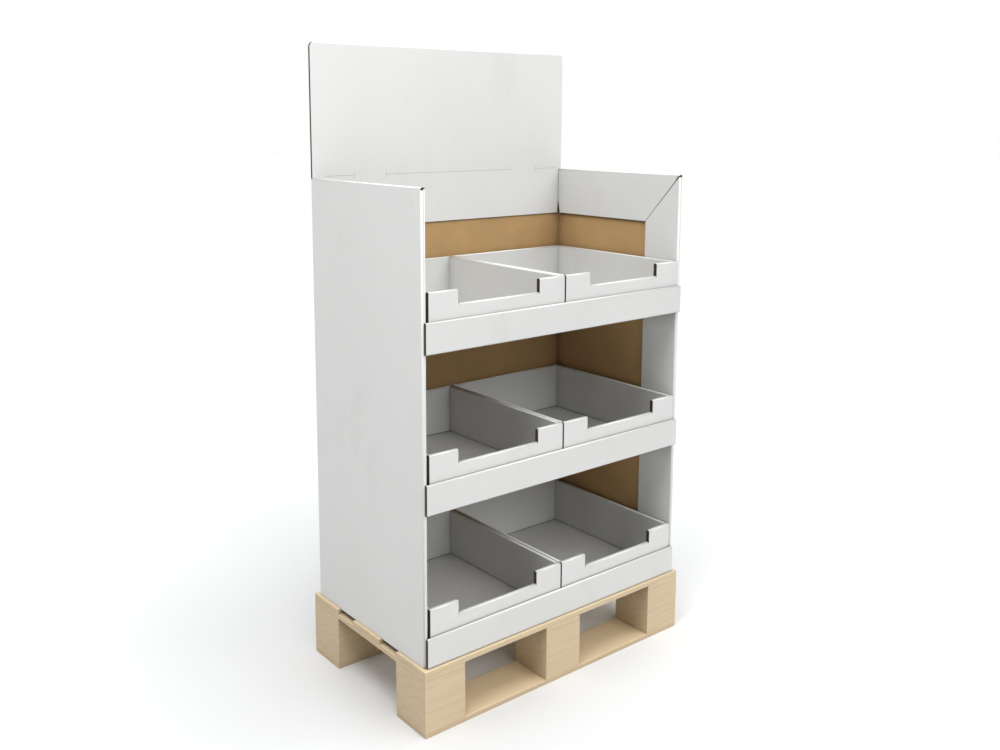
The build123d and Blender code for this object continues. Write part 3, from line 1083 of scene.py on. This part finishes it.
class STAND_OT_pallet(bpy.types.Operator):
    """Cut and lay the skids, blocks, cross boards and deck boards of the pallet"""

    bl_idname = "stand.pallet"
    bl_label = "Pallet"

    def execute(self, context):
        pallet = context.scene.stand_pallet
        wood = finish("planed_pale_wood", planed_wood, pallet)
        rng = random.Random(7)
        for node in sorted(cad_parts):
            if not node.startswith("pallet_") or node == "pallet_nails":
                continue
            low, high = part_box(node)
            lengthwise = 1 if "cross" in node else 0
            piece = self.timber(node + "_wood", low, high, lengthwise, pallet.edge_round, wood, rng)
            ride_as(piece, "pallet_wood", node)
        return {"FINISHED"}

    @staticmethod
    def timber(name, low, high, lengthwise, edge_round, wood, rng):
        """One planed timber: a box with softened edges, ring centre and tint of its own; skids are
        tinted darker as painted shade.
        """
        mesh = bmesh.new()
        bmesh.ops.create_cube(mesh, size=1.0)
        size = high - low
        middle = (low + high) / 2
        for vert in mesh.verts:
            vert.co = Vector([vert.co[i] * size[i] + middle[i] for i in range(3)])
        rounding = min(edge_round, min(size) / 5)
        if "block" in name:
            rounding *= 0.4
        bmesh.ops.bevel(
            mesh, geom=list(mesh.edges), offset=rounding, segments=3, profile=0.5, affect="EDGES"
        )
        bmesh.ops.recalc_face_normals(mesh, faces=mesh.faces)
        for face in mesh.faces:
            face.smooth = face.calc_area() < 3 * rounding * max(size)
        piece = solid(name, mesh, [wood])
        data = piece.data
        shift = Vector((rng.uniform(-2, 2), rng.uniform(-0.15, 0.15), rng.uniform(-0.12, 0.12)))
        order = (1, 0, 2) if lengthwise else (0, 1, 2)
        # a random tint per board, plus 0.5 on the skids as painted shade
        shade = rng.uniform(0.0, 0.25) + (0.5 if "skid" in name else 0.0)
        tint = data.attributes.new("tint", "FLOAT", "POINT")
        for item in tint.data:
            item.value = shade
        grain = data.attributes.new("grain", "FLOAT_VECTOR", "POINT")
        for item, vert in zip(grain.data, data.vertices):
            item.vector = Vector([vert.co[i] - middle[i] for i in order]) + shift
        return piece


def nail_tree():
    """Nails: a head and a shank on every point, turned by the point's own rotation."""
    tree = bpy.data.node_groups.get("Nails")
    if tree:
        return tree
    graph, ask = node_group("Nails", ("Head", "Shank", "Length"))
    flat = {"fill_type": "NGON"}
    head = graph.node("GeometryNodeMeshCone", flat, {
        "Vertices": 24, "Depth": 0.9 * MM,
        "Radius Top": ask["Head"] * 0.47, "Radius Bottom": ask["Head"] * 0.5,
    })
    values = {"Geometry": head, "Translation": (0, 0, -MM)}
    head = graph.node("GeometryNodeTransform", None, values)
    shank = graph.node("GeometryNodeMeshCone", flat, {
        "Vertices": 12, "Depth": ask["Length"],
        "Radius Top": ask["Shank"] * 0.5, "Radius Bottom": ask["Shank"] * 0.35,
    })
    drop = graph.node("ShaderNodeCombineXYZ", None, {"Z": ask["Length"] * -1.0})
    shank = graph.node("GeometryNodeTransform", None, {"Geometry": shank, "Translation": drop})
    placed = graph.node("GeometryNodeInstanceOnPoints", None, {
        "Points": ask["Geometry"], "Instance": joined(graph, head, shank),
        "Rotation": named_vector(graph, "turn"),
    })
    return close_group(graph, placed, ask["Material"])


def middle_of(node):
    """The middle of a node's box."""
    low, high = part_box(node)
    return (low + high) / 2


def nail_pairs(columns, rows):
    """Two nails, set askew, wherever a column meets a row."""
    pairs = []
    for x in columns:
        for y in rows:
            pairs.extend((x + k * NAIL_SPREAD / 2, y - k * NAIL_SPREAD / 4) for k in (-1, 1))
    return pairs


class STAND_OT_nails(bpy.types.Operator):
    """Drive the nails through the deck and the skids"""

    bl_idname = "stand.nails"
    bl_label = "Nails"

    def execute(self, context):
        pallet = context.scene.stand_pallet
        steel = finish("dull_steel", dull_steel)
        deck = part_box("pallet_deck_board_front")[1].z
        rows = [middle_of(f"pallet_block_{name}_left").y for name in ("front", "back")]
        columns = [middle_of(f"pallet_block_front_{name}").x for name in ("left", "middle", "right")]
        blocks = nail_pairs(columns, rows)
        crossings = nail_pairs(columns, [0.0])
        groups = (
            ([(x, y, deck) for x, y in blocks], 0.0, DECK_NAIL),
            ([(x, y, deck) for x, y in crossings], 0.0, CROSSING_NAIL),
            ([(x, y, 0.0) for x, y in blocks], math.pi, SKID_NAIL),
        )
        whole = bmesh.new()
        for points, turn, length in groups:
            source = bpy.data.meshes.new("nail_points")
            source.from_pydata(points, [], [])
            attribute = source.attributes.new("turn", "FLOAT_VECTOR", "POINT")
            for item in attribute.data:
                item.vector = (turn, 0.0, 0.0)
            made = run_tree(source, nail_tree(), {
                "Head": pallet.nail_head, "Shank": NAIL_SHANK, "Length": length, "Material": steel,
            })
            whole.from_mesh(made)
            bpy.data.meshes.remove(made)
        bmesh.ops.recalc_face_normals(whole, faces=whole.faces)
        for face in whole.faces:
            face.material_index = 0
        ride_as(solid("pallet_nails_steel", whole, [steel]), "nail_steel", "pallet_nails")
        return {"FINISHED"}


class STAND_OT_studio(bpy.types.Operator):
    """Lay the floor and set the lights and the camera"""

    bl_idname = "stand.studio"
    bl_label = "Studio"

    def execute(self, context):
        studio = context.scene.stand_studio
        scene = context.scene
        mesh = bmesh.new()
        bmesh.ops.create_circle(mesh, cap_ends=True, segments=96, radius=40.0)
        solid("studio_floor", mesh, [finish("studio_floor", studio_floor, studio)])

        world = bpy.data.worlds.new("studio_surroundings")
        world.use_nodes = True
        tree = world.node_tree
        tree.nodes.clear()
        graph = Graph(tree)
        seen = graph.node("ShaderNodeLightPath", None, None, "Is Camera Ray")
        strength = graph.range(seen, 0.0, 1.0, studio.sky, 1.0)
        sky = graph.node("ShaderNodeBackground", None, {"Color": (1, 1, 1, 1), "Strength": strength})
        output = tree.nodes.new("ShaderNodeOutputWorld")
        tree.links.new(sky.socket, output.inputs["Surface"])
        scene.world = world
        for name, azimuth, elevation, strength in LAMPS:
            turn, rise = math.radians(azimuth), math.radians(elevation)
            toward = Vector((
                math.sin(turn) * math.cos(rise), -math.cos(turn) * math.cos(rise), math.sin(rise)
            ))
            self.lamp(name, "SUN", toward * 5, -toward, strength * studio.key, angle=math.radians(50))
        beam = SOFT_BOX_AIM - SOFT_BOX_PLACE
        power = SOFT_BOX_POWER * studio.key
        box = self.lamp("left_soft_box", "AREA", SOFT_BOX_PLACE, beam, power, shape="DISK", size=1.2)
        box.visible_camera = False
        scene.view_settings.view_transform = "Standard"

        lens = bpy.data.cameras.new("stand_camera")
        lens.sensor_width = 36.0
        lens.lens = CAMERA_LENS
        lens.shift_x, lens.shift_y = CAMERA_SHIFT
        camera = linked("stand_camera", lens)
        camera.location = CAMERA_PLACE
        camera.rotation_euler = (CAMERA_TILT, 0.0, CAMERA_TURN)
        scene.camera = camera
        return {"FINISHED"}

    @staticmethod
    def lamp(name, kind, place, beam, energy, **settings):
        """A soft lamp at a place, shining along its beam."""
        light = bpy.data.lights.new(name, kind)
        light.energy = energy
        for key, value in settings.items():
            setattr(light, key, value)
        lamp = linked(name, light)
        lamp.location = place
        lamp.rotation_euler = beam.to_track_quat("-Z", "Y").to_euler()
        return lamp


class STAND_PT_panel(bpy.types.Panel):
    """Sizes, colours and steps of the display stand"""

    bl_idname = "STAND_PT_panel"
    bl_label = "Display stand"
    bl_space_type = "VIEW_3D"
    bl_region_type = "UI"
    bl_category = "Display stand"

    def draw(self, context):
        layout = self.layout
        for group in GROUPS:
            box = layout.box()
            box.label(text=group)
            settings = getattr(context.scene, group)
            for name in settings.__annotations__:
                box.prop(settings, name)
        for step in STEPS:
            layout.operator(f"stand.{step}")


GROUPS = {
    "stand_board": BoardSettings,
    "stand_tray": TraySettings,
    "stand_pallet": PalletSettings,
    "stand_studio": StudioSettings,
}
STEPS = ("mantle", "shelves", "trays", "pallet", "nails", "studio")
CLASSES = (
    BoardSettings, TraySettings, PalletSettings, StudioSettings,
    STAND_OT_mantle, STAND_OT_shelves, STAND_OT_trays, STAND_OT_pallet, STAND_OT_nails,
    STAND_OT_studio, STAND_PT_panel,
)


def register():
    for cls in CLASSES:
        bpy.utils.register_class(cls)
    for name, cls in GROUPS.items():
        setattr(bpy.types.Scene, name, bpy.props.PointerProperty(type=cls))


def unregister():
    for name in GROUPS:
        delattr(bpy.types.Scene, name)
    for cls in reversed(CLASSES):
        bpy.utils.unregister_class(cls)


def main():
    """Builds everything in order."""
    register()
    for step in STEPS:
        getattr(bpy.ops.stand, step)()


if __name__ == "__main__":
    main()
